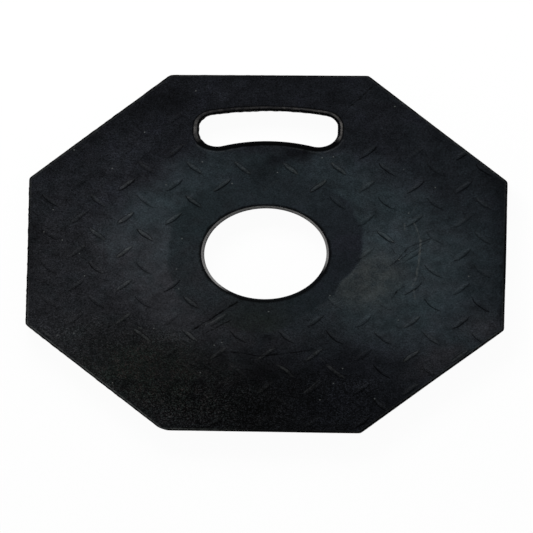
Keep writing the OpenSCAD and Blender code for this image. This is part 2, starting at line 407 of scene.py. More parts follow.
class Shell:
    """Collects rows of vertices and the faces between them, for one closed mesh."""

    def __init__(self):
        self.rows, self.quads, self.triangles, self.count = [], [], [], 0

    def add(self, points):
        """Keeps an array of points and gives their numbers."""
        first = self.count
        self.rows.append(np.asarray(points, dtype=float))
        self.count += len(points)
        return np.arange(first, self.count)

    def band(self, a, b, outside):
        """One face between each pair of neighbours of two equal rings; outside says the ring runs round the solid."""
        a2, b2 = np.roll(a, -1), np.roll(b, -1)
        order = (a, b, b2, a2) if outside else (a, a2, b2, b)
        self.quads.append(np.stack(order, axis=1))

    def stack(self, first, rings, outside=False):
        """Bands from a ring of numbers through a list of rings of points; gives the last ring's numbers."""
        for points in rings:
            ring = self.add(points)
            self.band(first, ring, outside)
            first = ring
        return first

    def join(self, outer, outer_turn, inner, inner_turn):
        """Downward triangles between two rings of unequal count: their steps are taken in order of their share of
        the way round, and each step makes a triangle with the other ring's current point."""
        ends = np.concatenate([np.append(outer_turn[1:], 1.0), np.append(inner_turn[1:], 1.0)])
        order = np.argsort(ends, kind="stable")
        on_outer = order < len(outer)
        i = np.cumsum(on_outer) - on_outer
        j = np.cumsum(~on_outer) - ~on_outer
        o1, o2 = outer[i % len(outer)], outer[(i + 1) % len(outer)]
        n1, n2 = inner[j % len(inner)], inner[(j + 1) % len(inner)]
        self.triangles.append(np.stack([o2, o1, n1], axis=1)[on_outer])
        self.triangles.append(np.stack([n1, n2, o1], axis=1)[~on_outer])

    def piece(self, name, masks, material):
        """The finished object in metres, smooth-shaded, with its masks as point attributes."""
        points = np.concatenate(self.rows)
        quads, triangles = np.concatenate(self.quads), np.concatenate(self.triangles)
        loops = np.concatenate([quads.ravel(), triangles.ravel()])
        starts = np.concatenate([np.arange(len(quads)) * 4, quads.size + np.arange(len(triangles)) * 3])
        mesh = bpy.data.meshes.new(name)
        mesh.vertices.add(len(points))
        mesh.vertices.foreach_set("co", (points * MM).astype(np.float32).ravel())
        mesh.loops.add(len(loops))
        mesh.loops.foreach_set("vertex_index", loops.astype(np.int32))
        mesh.polygons.add(len(starts))
        mesh.polygons.foreach_set("loop_start", starts.astype(np.int32))
        mesh.update(calc_edges=True)
        mesh.polygons.foreach_set("use_smooth", np.ones(len(starts), dtype=bool))
        for title, mask in masks(points).items():
            layer = mesh.attributes.new(title, "FLOAT", "POINT")
            layer.data.foreach_set("value", np.clip(mask, 0.0, 1.0).astype(np.float32))
        if mesh.validate():
            raise RuntimeError(f"the mesh of {name} had faults")
        mesh.materials.append(material)
        made = bpy.data.objects.new(name, mesh)
        bpy.context.scene.collection.objects.link(made)
        return made


class PlateGrid:
    """Square grid over an octagon: in the four corner stretches x and y step alike, so that the slanting flats
    run exactly through its points, and cells inside the windows are left out."""

    def __init__(self, reach, corner_cells, middle_cells):
        corner = reach * math.tan(math.pi / 8)
        side = np.linspace(corner, reach, corner_cells + 1)
        middle = np.linspace(-corner, corner, middle_cells + 1)
        self.lines = np.concatenate([-side[::-1][:-1], middle, side[1:]])
        self.corner_cells, self.middle_cells = corner_cells, middle_cells
        self.last = len(self.lines) - 1
        self.reach = reach
        self.windows = []

    def line_at(self, value):
        """Number of the grid line nearest to a position."""
        return int(np.abs(self.lines - value).argmin())

    def window(self, left, right, low, high):
        """Leaves out a rectangle, moved to the nearest grid lines, and gives its line numbers."""
        self.windows.append([self.line_at(value) for value in (left, right, low, high)])
        return self.windows[-1]

    def fill(self, shell, height, upward=True):
        """Adds the grid's points at height(x, y) and its faces; gives the table of point numbers."""
        count = self.last + 1
        x, y = np.meshgrid(self.lines, self.lines, indexing="ij")
        inside = flat_reach(x, y) <= self.reach + 1e-6
        used = inside.copy()
        open_cells = np.zeros((self.last, self.last), dtype=bool)
        for i0, i1, j0, j1 in self.windows:
            used[i0 + 1:i1, j0 + 1:j1] = False
            open_cells[i0:i1, j0:j1] = True
        numbers = np.full((count, count), -1)
        px, py = x[used], y[used]
        numbers[used] = shell.add(np.stack([px, py, height(px, py)], axis=1))
        corners = [(0, 0), (1, 0), (1, 1), (0, 1)]
        ids = np.stack([numbers[a:a + self.last, b:b + self.last] for a, b in corners], axis=-1)
        have = np.stack([inside[a:a + self.last, b:b + self.last] for a, b in corners], axis=-1)
        ids = ids[:, :, ::1 if upward else -1]
        have = have[:, :, ::1 if upward else -1]
        whole = have.all(axis=-1) & ~open_cells
        shell.quads.append(ids[whole])
        half = (have.sum(axis=-1) == 3) & ~open_cells
        ids3, have3 = ids[half], have[half]
        gap = (~have3).argmax(axis=1)
        turn = (gap[:, None] + np.arange(1, 4)) % 4
        shell.triangles.append(np.take_along_axis(ids3, turn, axis=1))
        return numbers

    def rim(self, numbers):
        """Point numbers round the octagon, anticlockwise from the left end of the lower flat, and each one's
        share of the way round, an eighth for each side."""
        n, m, last = self.corner_cells, self.middle_cells, self.last
        flat, slant = np.arange(m), np.arange(n)
        zero, full = np.zeros(m, int), np.full(m, last)
        i = [n + flat, n + m + slant, full, last - slant, last - n - flat, n - slant, zero, slant]
        j = [zero, slant, n + flat, n + m + slant, full, last - slant, last - n - flat, n - slant]
        ring = numbers[np.concatenate(i), np.concatenate(j)]
        turn = [(k + np.arange(len(part)) / len(part)) / 8 for k, part in enumerate(i)]
        return ring, np.concatenate(turn)

    def window_rim(self, numbers, bounds):
        """Point numbers round a window, anticlockwise from its lower left corner, with each one's share of the
        way round, a quarter for each side."""
        i0, i1, j0, j1 = bounds
        across, along = np.arange(i1 - i0), np.arange(j1 - j0)
        i = [i0 + across, np.full(len(along), i1), i1 - across, np.full(len(along), i0)]
        j = [np.full(len(across), j0), j0 + along, np.full(len(across), j1), j1 - along]
        ring = numbers[np.concatenate(i), np.concatenate(j)]
        turn = [(k + np.arange(len(part)) / len(part)) / 4 for k, part in enumerate(i)]
        return ring, np.concatenate(turn)


class Moulding:
    """The whole base in millimetres: its upper face with the tread, its holes, its edge and its underside."""

    # How far the outline stays inside the CAD part's, and how far in the underside's grid ends
    inset, under_inset = 0.2, 6.0
    # Grid cells along a corner stretch and along the middle one, on the upper face and on the underside
    corner_cells, middle_cells = 92, 130
    under_corner_cells, under_middle_cells = 13, 16
    # Windows of the upper grid: half a side round the hole; half the width, the front and the back round the slot
    hole_window, slot_window = 57.0, (70.0, 112.3, 172.0)
    # Windows of the underside's grid: half the width of each in cells, and the front and the back round the slot
    under_windows, under_slot = (6, 7), (108.0, 171.0)
    # Rings of faces between a window and its hole, and the flat margin round the lead-in
    hole_web, slot_web, hole_margin = 10, 5, 0.9
    foot_round = 0.5
    # Where the blunt corners end, and how softly
    corner_reach, corner_soft = 218.3, 0.9
    # How far the bars' middles keep away from the hole, the slot's rim and the flats, and from the flat by the grip
    collar_clear, slot_clear, edge_clear, plain_band = 28.0, 12.0, 3.5, 45.0
    # Marks pressed into the upper face: points, width and depth
    grooves = (
        ([(90.0, 195.0), (70.2, 168.7), (61.9, 156.0)], 1.2, 0.13),
        ([(-59.9, -88.0), (-22.4, -55.6)], 1.0, 0.10),
        ([(-48.0, -91.3), (-27.1, -76.2)], 1.0, 0.10),
        ([(-53.3, -78.8), (-45.8, -74.2)], 1.0, 0.08),
        ([(107.0, -12.0), (116.0, -2.0), (122.0, 5.5), (139.0, 17.0)], 1.2, 0.10),
        ([(107.2, -50.6), (112.1, -41.4), (117.9, -35.7)], 1.0, 0.09),
        ([(-26.4, -112.6), (-2.6, -116.9), (18.5, -114.3), (58.0, -99.5)], 0.8, 0.07),
    )
    # The tables below give the upper face in twelve directions from the right, anticlockwise.
    # The pale halo round the collar, partly worn and partly a painted sheen: how pale it is, how far it reaches and how
    # slowly it fades
    halo = (0.90, 0.67, 0.51, 0.36, 0.54, 0.74, 0.80, 0.79, 0.50, 0.34, 0.42, 0.84)
    halo_reach = (162.0, 142.0, 126.0, 122.0, 126.0, 128.0, 138.0, 130.0, 120.0, 118.0, 126.0, 168.0)
    halo_fade = (34.0, 26.0, 20.0, 16.0, 18.0, 22.0, 30.0, 30.0, 26.0, 24.0, 26.0, 44.0)
    # How pale the face is beyond the halo, partly worn and partly a painted sheen, and how bluish in the halo and
    # beyond it
    beyond = (0.45, 0.28, 0.21, 0.14, 0.21, 0.34, 0.37, 0.37, 0.20, 0.05, 0.14, 0.60)
    coolness = (0.75, 0.90, 1.00, 1.00, 0.95, 0.74, 0.28, 0.00, 0.00, 0.20, 0.60, 0.80)
    far_coolness = (0.95, 0.70, 0.45, 0.25, 0.20, 0.15, 0.05, 0.00, 0.00, 0.05, 0.30, 0.80)
    # How navy the face beyond the halo and the collar are
    far_navy = (0.40, 0.60, 0.80, 1.00, 0.90, 0.55, 0.15, 0.05, 0.05, 0.30, 0.90, 0.35)
    collar_navy = (0.80, 0.70, 0.40, 0.30, 0.20, 0.10, 0.05, 0.00, 0.00, 0.10, 0.30, 0.60)
    # How pale the collar is, and how much wider than its radius
    collar_tone = (0.32, 0.38, 0.42, 0.40, 0.42, 0.47, 0.48, 0.49, 0.40, 0.35, 0.35, 0.34)
    collar_widths = (1.0, 8.0, 9.0, 9.0, 6.0, 6.0, 2.0, 6.0, 9.0, 7.0, -3.0, -9.0)
    # How bright the painted highlight along the upper edge is
    arris_highlight = (0.05, 0.24, 0.22, 0.04, 0.20, 0.32, 0.05, 0.80, 1.00, 0.06, 0.18, 0.28)
    # Places that are paler (+) or less pale (−) than the rest, partly worn and partly a painted sheen: centre, half
    # widths, turn and change of tone
    uneven_wear_and_sheen = (
        ((-190.0, -100.0), (60.0, 45.0), 30.0, 0.16), ((-105.0, 165.0), (70.0, 34.0), 35.0, -0.10),
        ((-172.0, 112.0), (72.0, 38.0), 42.0, -0.16), ((-72.0, 172.0), (32.0, 24.0), 0.0, -0.08),
        ((-38.0, 181.0), (8.0, 11.0), 0.0, 0.14), ((-26.0, 193.0), (9.0, 9.0), 0.0, 0.12),
        ((0.0, 184.0), (62.0, 20.0), 0.0, 0.04), ((163.0, 52.0), (44.0, 42.0), 0.0, 0.06),
        ((48.0, -72.0), (26.0, 22.0), 0.0, 0.06), ((88.0, -138.0), (34.0, 26.0), 0.0, 0.08),
        ((-67.0, -90.0), (34.0, 36.0), 0.0, 0.08), ((-29.0, -139.0), (32.0, 22.0), 0.0, 0.05),
        ((48.0, -173.0), (34.0, 20.0), 0.0, -0.05),
    )

    def __init__(self, shape, tread):
        self.reach = shape.across_flats / MM / 2
        self.edge = self.reach - self.inset
        self.top = shape.thickness / MM
        self.ceiling = CAD_HIGH.z / MM
        self.hole_r, self.lead = shape.post_hole / MM / 2, shape.lead_in / MM
        self.arris = shape.arris / MM
        self.rim = shape.slot_rim / MM
        self.flash = shape.flash / MM
        outer_y = self.reach - shape.grip_width / MM
        self.slot = SlotOutline(shape.slot_length / MM / 2, outer_y, shape.slot_width / MM)
        self.bar_length, self.bar_width = tread.bar_length / MM, tread.bar_width / MM
        self.bar_height = tread.bar_height / MM
        self.pitch = (tread.pitch_across / MM, tread.pitch_along / MM)
        self.collar_r = tread.collar_radius / MM
        self.swell = tread.swell / MM

    def has_bar(self, x, y):
        """Whether the tread has a bar at these places: clear of the collar, the slot, the edge and the grip."""
        radius = np.hypot(x, y)
        slot = self.slot
        in_slot = (radius > slot.inner_r) & (y < slot.outer_y) & (np.abs(x) < slot.half_length) & (y > 0)
        by_slot = in_slot | (slot.distance(x, y, self.rim) < self.slot_clear)
        in_field = (radius > self.hole_r + self.collar_clear) & (flat_reach(x, y) < self.reach - self.edge_clear)
        return in_field & (y < self.reach - self.plain_band) & ~by_slot

    def bars(self, x, y):
        """Height of the tread, and for each grid how strong the painted shade along the foot of a point's own bar is
        and how pale its crown is, partly rubbed and partly a painted highlight. At the nearest place of each grid
        stands a pointed oval b(u) = w/2·(1 − (2u/l)²) wide, crowned along its length and rounded across it as (1 −
        (v/b)²)^0.8, with each bar worn by its own amount."""
        total, marks = np.zeros(np.shape(x)), {}
        half = self.bar_length / 2
        inner = ease(self.edge - 0.8, self.edge - 4.0, flat_reach(x, y))
        for name, (start_x, start_y), lean, seed in BAR_GRIDS:
            i = np.round((x - start_x) / self.pitch[0]).astype(int)
            j = np.round((y - start_y) / self.pitch[1]).astype(int)
            reach = np.arange(-GRID_REACH, GRID_REACH + 1)
            column, row = np.meshgrid(reach, reach, indexing="ij")
            place_x, place_y = start_x + column * self.pitch[0], start_y + row * self.pitch[1]
            chance = np.random.default_rng(seed)
            fresh = self.has_bar(place_x, place_y) * (1.0 - self.worn(place_x, place_y))
            height = fresh * (1.0 - 0.45 * chance.random(column.shape) ** 1.5)
            # Painted shade along the bars' feet is laid on less at the bottom and at the lower left
            foot_shade_share = 1.0 - 0.6 * np.maximum(patch(place_x, place_y, (-5.0, -125.0), (95.0, 40.0)),
                                           patch(place_x, place_y, (-120.0, -85.0), (80.0, 42.0), -25.0))
            # foot: how strong the painted shade line along the bar's foot is
            foot = fresh * (0.35 + 0.65 * chance.random(column.shape)) * foot_shade_share
            # crown: how pale the crown is, partly rubbed and partly a painted highlight
            crown = fresh * chance.random(column.shape) ** 1.3 * self.crown_rubbing_and_highlight(place_x, place_y)
            for bar_column, bar_row, rubbed in RUBBED_AND_HIGHLIGHTED_BARS[name]:
                crown[bar_column + GRID_REACH, bar_row + GRID_REACH] = rubbed
            own = (i + GRID_REACH, j + GRID_REACH)
            marks[name + "_feet"], marks[name + "_crowns"] = foot[own] * inner, crown[own] * inner
            dx, dy = x - start_x - i * self.pitch[0], y - start_y - j * self.pitch[1]
            u = (dx + lean * dy) / math.sqrt(2.0)
            v = (dy - lean * dx) / math.sqrt(2.0)
            taper = np.clip(1.0 - (u / half) ** 2, 0.0, 1.0)
            share = 2.0 * np.abs(v) / (self.bar_width * np.maximum(taper, 1e-3))
            total += height[own] * (0.25 + 0.75 * taper) * np.clip(1.0 - share ** 2, 0.0, 1.0) ** 0.8
        return self.bar_height * total * inner, marks

    def worn(self, x, y):
        """Where the bars have all but gone: at the lower left, along both upper slanting flats and in the rubbed
        patch."""
        low = 0.80 * patch(x, y, (-118.0, -142.0), (125.0, 66.0), -32.0, 0.6)
        bottom = 0.40 * patch(x, y, (10.0, -170.0), (105.0, 58.0), 0.0, 0.5)
        high = 0.75 * patch(x, y, (-140.0, 128.0), (115.0, 62.0), 40.0, 0.6)
        corner = 0.85 * patch(x, y, (105.0, 152.0), (75.0, 42.0), -38.0, 0.6)
        smooth = 0.72 * patch(x, y, (86.0, -34.0), (42.0, 46.0), 0.0, 0.5)
        return np.maximum.reduce([low, bottom, high, corner, smooth, np.full(np.shape(x), 0.12)])

    def crown_rubbing_and_highlight(self, x, y):
        """How pale the crowns of the bars are, partly rubbed and partly a painted highlight: most on the left and along
        the lower right, least on the right."""
        return 0.35 + 0.65 * np.maximum.reduce([
            patch(x, y, (-100.0, 20.0), (75.0, 105.0), 0.0, 0.5), patch(x, y, (110.0, -125.0), (90.0, 50.0), 35.0, 0.6),
            patch(x, y, (20.0, 95.0), (90.0, 30.0), 0.0, 0.6), patch(x, y, (0.0, -125.0), (95.0, 42.0), 0.0, 0.5)])

    def crumbly(self, x, y):
        """Where the skin is grainy: most at the bottom, less along the lower left, the left and the upper left."""
        edge = x + 1.15 * y + 18.0 * drift(x, y, 34.0, 51)
        low = 0.42 * ease(-125.0, -205.0, edge) * ease(-60.0, -115.0, y + 0.12 * x)
        bottom = 0.62 * ease(-118.0, -152.0, y + 10.0 * drift(x, y, 22.0, 52)) * ease(150.0, 70.0, x)
        heart = patch(x + 9.0 * drift(x, y, 17.0, 54), y, (-38.0, -178.0), (122.0, 60.0), -6.0, 0.8)
        left = 0.20 * ease(-105.0, -150.0, x + 14.0 * drift(x, y, 30.0, 53))
        high = 0.20 * ease(150.0, 210.0, y - x)
        return np.maximum.reduce([low, bottom, heart, left, high, np.full(np.shape(x), 0.10)])

    def collar(self, x, y):
        """1 on the plain collar and 0 off it, with an edge that wanders a few millimetres."""
        angle = np.arctan2(y, x)
        wander = 2.4 * drift(30.0 + 9.0 * np.cos(angle), 30.0 + 9.0 * np.sin(angle), 1.9, 5) + 1.2 * drift(x, y, 6.0, 7)
        return ease(1.6, -1.6, np.hypot(x, y) - self.collar_r - by_direction(x, y, self.collar_widths) - wander)

    def upper_face(self, x, y):
        """Height of the upper face: slow swells, finer ripples and grain, the sunk collar, pressed marks and bars."""
        collar = self.collar(x, y)
        free = 1.0 - collar
        swell = drift(x, y, 64.0, 1) + 0.5 * drift(x, y, 27.0, 2) * free + 0.16 * drift(x, y, 9.0, 3) * free
        grain = self.crumbly(x, y) * (0.07 * drift(x, y, 2.9, 4) + 0.05 * drift(x, y, 5.3, 6))
        z = self.top - 0.16 + 0.6 * self.swell * swell + grain - 0.10 * collar
        for points, width, depth in self.grooves:
            z -= depth * np.exp(-(line_distance(x, y, points) / width) ** 2)
        return np.minimum(z + self.bars(x, y)[0], self.ceiling - 0.01)

    def hole_rings(self, angle, z0):
        """The post hole's profile carried round the circle: lead-in slope, straight wall and rounded foot."""
        r, lead = self.hole_r, self.lead
        profile = [
            (lead + 0.35, 0.03), (lead + 0.05, 0.16), (0.72 * lead, 0.30 * lead + 0.12),
            (0.34 * lead, 0.66 * lead + 0.1), (0.10 * lead, 0.93 * lead + 0.12), (0.0, 1.25 * lead),
            (0.0, 8.0), (0.0, 16.0), (0.0, self.top - 1.4),
        ]
        rings = [(r + out, z0 - drop) for out, drop in profile]
        rings += [(r, np.full(len(angle), self.foot_round)), (r + 0.15, np.full(len(angle), 0.15))]
        rings += [(r + self.foot_round, np.zeros(len(angle))), (r + 2.0, np.zeros(len(angle)))]
        return [np.stack([radius * np.cos(angle), radius * np.sin(angle), z], axis=1) for radius, z in rings]

    def slot_rings(self, ring, rays, z0):
        """The slot's rim and walls: a quarter round d = r(1 − cos a), z = top − r(1 − sin a), a straight wall, and
        a thin ragged flash at its foot that reaches into the slot."""
        at_rim = ring - rays * self.rim
        count = len(ring)
        rings = []
        for turn in np.radians([78.0, 66.0, 54.0, 42.0, 30.0, 18.0, 6.0]):
            out, drop = self.rim * (1.0 - math.cos(turn)), self.rim * (1.0 - math.sin(turn))
            rings.append((np.full(count, out), z0 - drop))
        for level in (16.5, 9.0, 2.6):
            rings.append((np.zeros(count), np.full(count, level)))
        x, y = at_rim[:, 0], at_rim[:, 1]
        ragged = 0.5 + 0.5 * drift(x, y, 2.3, 21) + 0.35 * drift(x, y, 6.0, 22)
        where = 0.25 + 0.30 * ease(148.0, 158.0, y) + 0.5 * ease(-48.0, -57.0, x)
        tongue = self.flash * np.clip(ragged * where, 0.05, 1.0)
        foot = (
            (-0.25 * tongue, 1.2), (-tongue, 0.62), (-tongue, 0.18), (-tongue + 0.3, 0.0), (np.full(count, 2.0), 0.0))
        rings += [(out, np.full(count, level)) for out, level in foot]
        return [np.column_stack([at_rim + rays * out[:, None], z]) for out, z in rings]

    def edge_rings(self, outline, z0):
        """The octagon's profile carried round it: each ring is the outline scaled to its own reach, a quarter round
        at the upper edge, a wall that leans in a little towards its foot, and a rounded foot."""
        base = self.edge - self.arris
        count = len(outline)
        rings = []
        for turn in np.radians([22.0, 45.0, 68.0, 88.0]):
            rings.append((self.arris * math.sin(turn), z0 - self.arris * (1.0 - math.cos(turn))))
        for out, level in ((0.0, 19.0), (0.12, 13.0), (0.0, 7.0), (-0.1, 1.0), (-0.2, 0.35), (-0.6, 0.0), (-3.0, 0.0)):
            rings.append((self.arris + out, np.full(count, level)))
        return [np.column_stack([outline * (base + out) / base, z]) for out, z in rings]

    def settle(self, points):
        """Small faults of the outline: flats that bow in and wander, corners blunted by r = R + w·tanh((r − R)/w),
        one of them more, and a little flash. The box of the CAD part stays the limit."""
        x, y = points[:, 0], points[:, 1]
        near = ease(self.edge - 45.0, self.edge, flat_reach(x, y))
        angle = np.arctan2(y, x)
        cos, sin = np.cos(angle), np.sin(angle)
        slow = drift(40.0 + 12.0 * cos, 40.0 + 12.0 * sin, 4.0, 31)
        quick = drift(x, y, 3.0, 32)
        left = ease(-60.0, -150.0, x) + 0.6 * ease(150.0, 190.0, y) * ease(20.0, -30.0, x)
        shift = near * (-0.12 + 0.22 * slow + 0.05 * quick + 0.30 * left * np.maximum(quick, 0.0))
        radius = np.hypot(x, y)
        blunt = self.corner_reach - 1.2 * ease(0.16, 0.05, np.abs(angle + math.radians(112.5)))
        over = np.maximum(radius - blunt, 0.0) / self.corner_soft
        kept = np.minimum(radius, blunt) + self.corner_soft * np.tanh(over) + shift
        moved = np.stack([kept * cos, kept * sin], axis=1)
        points[:, :2] = np.clip(moved, -self.reach + 0.01, self.reach - 0.01)
        return points

    def build(self):
        """The closed shell, from the upper face through the holes and the edge to the underside."""
        shell = Shell()
        top = PlateGrid(self.edge - self.arris, self.corner_cells, self.middle_cells)
        low = PlateGrid(self.edge - self.under_inset, self.under_corner_cells, self.under_middle_cells)
        s, (sx, sy0, sy1) = self.hole_window, self.slot_window
        hole, slot = top.window(-s, s, -s, s), top.window(-sx, sx, sy0, sy1)
        s, sx = (low.lines[low.line_at(0.0) + cells] for cells in self.under_windows)
        low_hole, low_slot = low.window(-s, s, -s, s), low.window(-sx, sx, *self.under_slot)
        numbers = top.fill(shell, self.upper_face)
        low_numbers = low.fill(shell, lambda x, y: np.zeros(len(x)), upward=False)

        ring, turn = top.window_rim(numbers, hole)
        face = np.concatenate(shell.rows)
        angle = -0.75 * math.pi + 2.0 * math.pi * turn
        circle = (self.hole_r + self.lead + self.hole_margin) * np.stack([np.cos(angle), np.sin(angle)], axis=1)
        ring = self.web(shell, ring, face[ring, :2], circle, self.hole_web)
        z0 = self.upper_face(circle[:, 0], circle[:, 1])
        ring = shell.stack(ring, self.hole_rings(angle, z0))
        shell.join(*low.window_rim(low_numbers, low_hole), ring, turn)

        ring, turn = top.window_rim(numbers, slot)
        around, rays = self.slot.ring(slot[1] - slot[0], slot[3] - slot[2], self.rim)
        ring = self.web(shell, ring, face[ring, :2], around, self.slot_web)
        z0 = self.upper_face(around[:, 0], around[:, 1])
        ring = shell.stack(ring, self.slot_rings(around, rays, z0))
        shell.join(*low.window_rim(low_numbers, low_slot), ring, turn)

        ring, turn = top.rim(numbers)
        outline = face[ring]
        ring = shell.stack(ring, self.edge_rings(outline[:, :2], outline[:, 2]), outside=True)
        shell.join(ring, turn, *low.rim(low_numbers))
        shell.rows = [self.settle(np.concatenate(shell.rows))]
        return shell

    def web(self, shell, ring, start, end, steps):
        """Rings of the upper face between a window's rim and the outline in it, each a straight blend of the two."""
        rings = []
        for share in np.linspace(0.0, 1.0, steps + 1)[1:]:
            flat = start * (1.0 - share) + end * share
            rings.append(np.column_stack([flat, self.upper_face(flat[:, 0], flat[:, 1])]))
        return shell.stack(ring, rings)

    def masks(self, points):
        """What the finish needs to know of each point, from 0 to 1."""
        x, y, z = points.T
        upper = ease(self.top - 3.2, self.top - 1.2, z)
        radius = np.maximum(np.hypot(x, y), 1.0)
        # Side of the post hole whose rim gets the painted highlight; the other side gets painted shade
        bore_side = ease(-0.70, -0.38, (y - 0.3 * x) / radius) * (0.74 + 0.26 * ease(0.2, 0.8, y / radius))
        return {
            **{name: mask * upper for name, mask in {**self.wear_and_sheen(x, y), **self.bars(x, y)[1]}.items()},
            **self.tints(x, y),
            **self.slot_marks(x, y, z),
            "bore_lit": bore_side * ease(self.top - 9.0, self.top - 2.5, z),
            # How bright the painted highlight along the upper edge is in each direction
            "arris": by_direction(x, y, self.arris_highlight),
            "inward": (self.edge - flat_reach(x, y)) / DISTANCE_KEPT,
            "walls": 1.0 - upper,
        }

    def in_halo(self, x, y):
        """1 in the halo round the collar, which is partly worn and partly a painted sheen, and 0 beyond it, with an
        edge that wanders.
        """
        reach, fade = by_direction(x, y, self.halo_reach), by_direction(x, y, self.halo_fade)
        wander = 9.0 * drift(x, y, 26.0, 41) + 4.0 * drift(x, y, 11.0, 42)
        return ease(reach + fade, reach - fade, np.hypot(x, y) + wander)

    def smudge(self, x, y):
        """The dark smudge below the slot."""
        above = patch(x, y, (26.0, 115.0), (27.0, 10.0), 12.0, 0.9)
        below = patch(x, y, (9.0, 106.0), (20.0, 11.0), 25.0, 0.9)
        return np.maximum(above, 0.75 * below)

    def wear_and_sheen(self, x, y):
        """How pale the upper face is, partly worn and partly a painted sheen, less its stains and its darkening near
        the edge, and where the collar, the crumbs and the rubbed patch are. The tone runs from the value beyond the
        halo to the one in it, and the collar has its own."""
        reach, collar, halo = flat_reach(x, y), self.collar(x, y), self.in_halo(x, y)
        tone = by_direction(x, y, self.beyond) * (1.0 - halo) + by_direction(x, y, self.halo) * halo
        tone = tone * (1.0 - collar) + by_direction(x, y, self.collar_tone) * collar
        for centre, across, turn, change in self.uneven_wear_and_sheen:
            tone += change * patch(x, y, centre, across, turn, 0.9)
        tone *= 1.0 - 0.5 * patch(x, y, (203.0, 90.0), (34.0, 120.0), 0.0, 0.9)

        by_edge = ease(self.edge - 5.0, self.edge - 2.0, reach + 2.5 * drift(x, y, 6.0, 55))
        # Darker towards the edge, least where the painted highlight along the edge is strongest; taken off the tone
        # with the stains
        edge_darkening = 0.30 * ease(self.edge - 3.6, self.edge - 1.2, reach)
        edge_darkening += 0.25 * ease(self.edge - 16.0, self.edge - 4.0, reach)
        stain = np.maximum.reduce([
            0.65 * patch(x, y, (203.0, -38.0), (24.0, 66.0)) * by_edge,
            0.74 * self.smudge(x, y),
            0.30 * ease(9.0, 1.5, line_distance(x, y, [(2.0, 102.0), (-9.0, 84.0)])),
            0.60 * patch(x, y, (4.0, -96.0), (8.0, 6.0), 0.0, 0.8),
            (1.0 - by_direction(x, y, self.arris_highlight)) * edge_darkening,
        ])
        return {
            "collar": collar,
            "tone": tone * (1.0 - stain),
            "crumbs": self.crumbly(x, y),
            "rubbed": patch(x, y, (86.0, -30.0), (44.0, 50.0), -25.0, 0.8) * (1.0 - collar),
        }

    def tints(self, x, y):
        """Where the rubber looks bluish, navy or mossy, apart from two dusty, pinkish places at the lower right."""
        collar, halo = self.collar(x, y), self.in_halo(x, y)
        cool = by_direction(x, y, self.coolness) * halo + by_direction(x, y, self.far_coolness) * (1.0 - halo)
        cool += 0.35 * collar * ease(-95.0, -60.0, y)
        navy = by_direction(x, y, self.far_navy) * (1.0 - 0.75 * halo) * (1.0 - collar)
        navy += by_direction(x, y, self.collar_navy) * collar
        pinkish = np.maximum(patch(x, y, (186.0, -80.0), (36.0, 28.0), 0.0, 0.9),
                             patch(x, y, (146.0, -122.0), (48.0, 26.0), 38.0, 0.9))
        mossy = np.maximum(0.8 * patch(x, y, (-80.0, -146.0), (148.0, 68.0), -25.0, 0.9),
                           0.55 * collar * patch(x, y, (-6.0, -76.0), (46.0, 34.0), 0.0, 0.9))
        return {
            "cool": cool - 0.75 * pinkish,
            "navy": np.maximum(navy * (1.0 - 0.8 * pinkish), self.smudge(x, y)),
            "mossy": mossy,
        }

    def slot_marks(self, x, y, z):
        """The distance from the slot's walls, and how wide its dark inner line of painted shade is and how strong the
        painted highlight, the painted shade and the painted glint of its rim are on each side. The painted highlight is
        strongest at the ends, and the painted shade lies on the side of the post hole."""
        out, way = self.slot.rim_place(x, y, DISTANCE_KEPT)
        on_rim = (out < DISTANCE_KEPT - 0.1) & (z > 1.5)
        lit_side = ease(-0.65, -0.05, way)
        grip_side = ease(0.3, 0.9, way)
        to_right = ease(-10.0, 45.0, x)
        return {
            "slot_out": np.where(z > 0.1, out, DISTANCE_KEPT) / DISTANCE_KEPT,
            "slot_inner": lit_side * (0.30 + 0.08 * grip_side + (0.40 - 0.22 * grip_side) * to_right),
            "slot_lit": on_rim * lit_side * (1.0 - grip_side * (0.60 - 0.35 * to_right)),
            "slot_shade": 1.0 - lit_side,
            "slot_glint": on_rim * (1.0 - lit_side) * ease(12.0, 34.0, np.abs(x)),
        }


class Signal:
    """A number on its way through a material; +, −, ·, / and their reflected forms add Math nodes."""

    def __init__(self, paint, socket):
        self.paint, self.socket = paint, socket

    def maths(self, operation, *values):
        """One Math node with these values on its sockets."""
        return self.paint.node("ShaderNodeMath", {"operation": operation}, dict(enumerate(values)))

    def __add__(self, other):
        return self.maths("ADD", self, other)

    def __radd__(self, other):
        return self.maths("ADD", other, self)

    def __sub__(self, other):
        return self.maths("SUBTRACT", self, other)

    def __rsub__(self, other):
        return self.maths("SUBTRACT", other, self)

    def __mul__(self, other):
        return self.maths("MULTIPLY", self, other)

    def __rmul__(self, other):
        return self.maths("MULTIPLY", other, self)

    def __truediv__(self, other):
        return self.maths("DIVIDE", self, other)

    def size(self):
        """The value without its sign."""
        return self.maths("ABSOLUTE", self)

    def wrap(self, half):
        """The value taken around into the range from −half to half."""
        return self.maths("WRAP", self, half, -half)

    def clip(self):
        """The value kept between 0 and 1."""
        return self.paint.node("ShaderNodeClamp", {}, {0: self})

    def ramp(self, low, high, to_low=0.0, to_high=1.0):
        """The value taken smoothly from the range low to high to another range."""
        settings = {"interpolation_type": "SMOOTHSTEP"}
        inputs = {0: self, 1: low, 2: high, 3: to_low, 4: to_high}
        return self.paint.node("ShaderNodeMapRange", settings, inputs)

    def most(self, other):
        """The larger of two values."""
        return self.maths("MAXIMUM", self, other)


